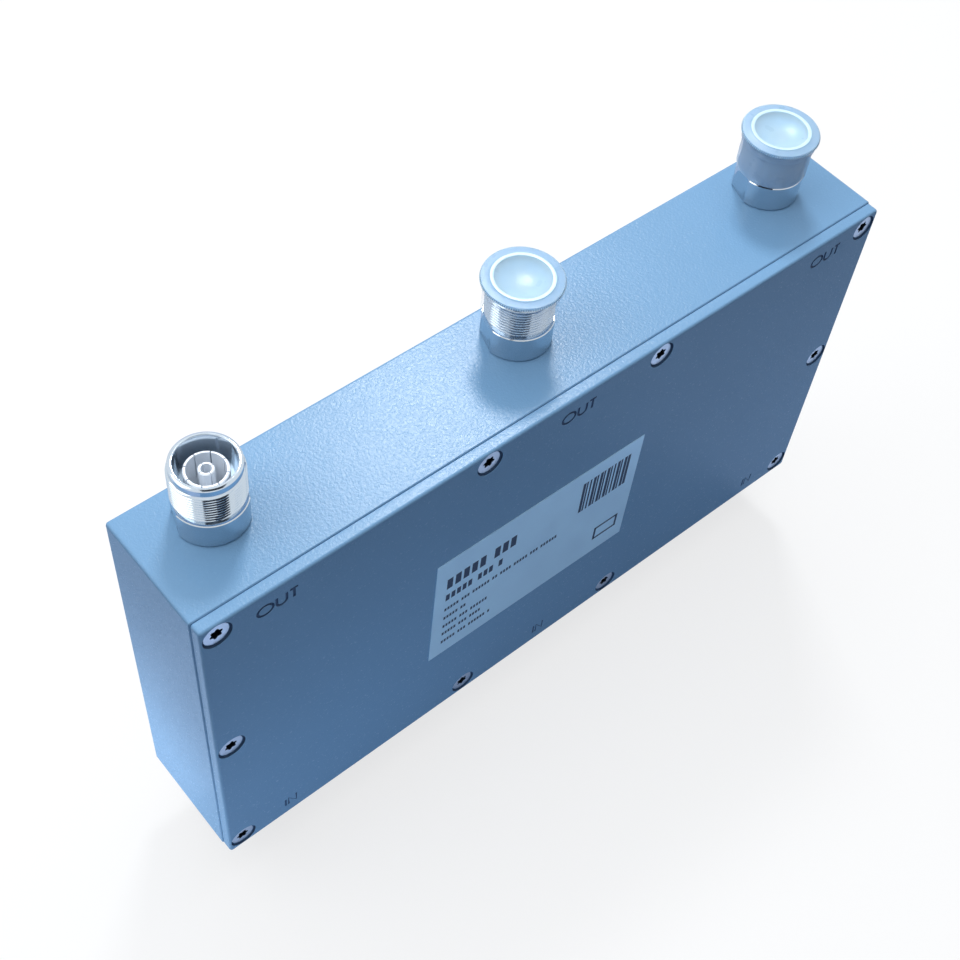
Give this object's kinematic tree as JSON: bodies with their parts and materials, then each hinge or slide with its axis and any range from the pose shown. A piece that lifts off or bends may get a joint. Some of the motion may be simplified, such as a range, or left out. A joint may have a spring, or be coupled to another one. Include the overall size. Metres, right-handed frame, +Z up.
{
  "type": "rf hybrid combiner",
  "caption": "Painted aluminium RF hybrid combiner: flat box with a screwed cover, threaded coaxial ports on both long edges, push-on dust caps and coupled strip lines inside.",
  "frame": {"origin": "middle of the box in plan, at the level of the input connectors' rims", "axes": "+X along the box, from the first port to the third as seen from the cover; the cover faces -Y; +Z up, along the output connectors"},
  "size_m": [0.252, 0.0422, 0.178],
  "materials": {
    "painted_aluminium": "satin powder paint with a fine orange peel, on aluminium",
    "painted_cover": "the same powder paint on aluminium plate",
    "gasket_rubber": "moulded silicone rubber",
    "zinc_steel": "zinc-plated steel",
    "label_film": "silvery printed film",
    "plated_brass": "bright white-bronze plating on turned brass",
    "silver_plate": "bright silver plating on spring bronze",
    "ptfe": "turned and milled white fluoropolymer",
    "cap_polyethylene": "translucent moulded polyethylene",
    "silver_strip": "silver-plated copper strip"
  },
  "bodies": {
    "root": {"housing": "painted_aluminium", "cover": "painted_cover", "cover_gasket": "gasket_rubber", "cover_screws": "zinc_steel", "label": "label_film", "out_1_connector_body": "plated_brass", "out_1_outer_contact": "silver_plate", "out_1_center_contact": "silver_plate", "out_1_insulator": "ptfe", "out_1_seal": "gasket_rubber", "out_2_connector_body": "plated_brass", "out_2_outer_contact": "silver_plate", "out_2_center_contact": "silver_plate", "out_2_insulator": "ptfe", "out_2_seal": "gasket_rubber", "out_3_connector_body": "plated_brass", "out_3_outer_contact": "silver_plate", "out_3_center_contact": "silver_plate", "out_3_insulator": "ptfe", "out_3_seal": "gasket_rubber", "in_1_connector_body": "plated_brass", "in_1_outer_contact": "silver_plate", "in_1_center_contact": "silver_plate", "in_1_insulator": "ptfe", "in_1_seal": "gasket_rubber", "in_2_connector_body": "plated_brass", "in_2_outer_contact": "silver_plate", "in_2_center_contact": "silver_plate", "in_2_insulator": "ptfe", "in_2_seal": "gasket_rubber", "in_3_connector_body": "plated_brass", "in_3_outer_contact": "silver_plate", "in_3_center_contact": "silver_plate", "in_3_insulator": "ptfe", "in_3_seal": "gasket_rubber", "out_2_dust_cap": "cap_polyethylene", "out_3_dust_cap": "cap_polyethylene", "coupled_line_1": "silver_strip", "coupled_line_2": "silver_strip", "coupled_line_3": "silver_strip", "coupler_1_spacers": "ptfe", "coupler_2_spacers": "ptfe", "coupler_3_spacers": "ptfe", "line_posts": "ptfe"}
  },
  "joints": []
}
